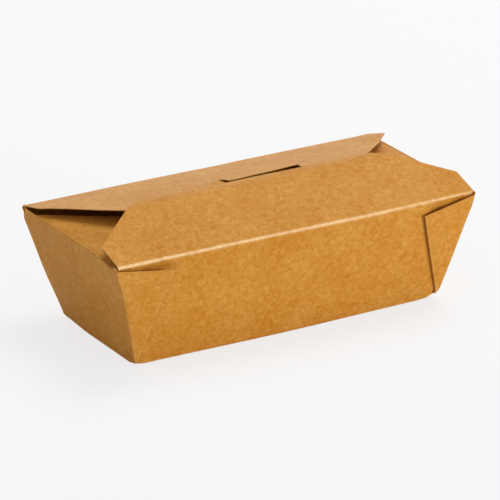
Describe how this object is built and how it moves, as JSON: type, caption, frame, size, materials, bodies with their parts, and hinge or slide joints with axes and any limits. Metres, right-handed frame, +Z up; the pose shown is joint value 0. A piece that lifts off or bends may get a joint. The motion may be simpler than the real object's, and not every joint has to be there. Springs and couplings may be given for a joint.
{
  "type": "paper takeout container",
  "caption": "Folded kraft card food carton with flared walls, gusseted corners, dust flaps and a low tent lid whose front flap locks with a tab in a slit.",
  "frame": {"origin": "middle of the base, on the surface that the carton stands on", "axes": "+X along the carton's length, +Y from the opening flap's wall to the back wall, +Z up"},
  "size_m": [0.22, 0.1154, 0.0769],
  "materials": {
    "kraft_card": "matt natural kraft"
  },
  "bodies": {
    "carton_body": {"carton": "kraft_card"},
    "lid": {"front_flap": "kraft_card"}
  },
  "joints": [
    {"name": "front_flap_fold", "type": "hinge", "parent": "carton_body", "child": "lid", "pos_m": [0, -0.05358, 0.0622], "axis": [1, 0, 0], "range_deg": [0, 160]}
  ]
}
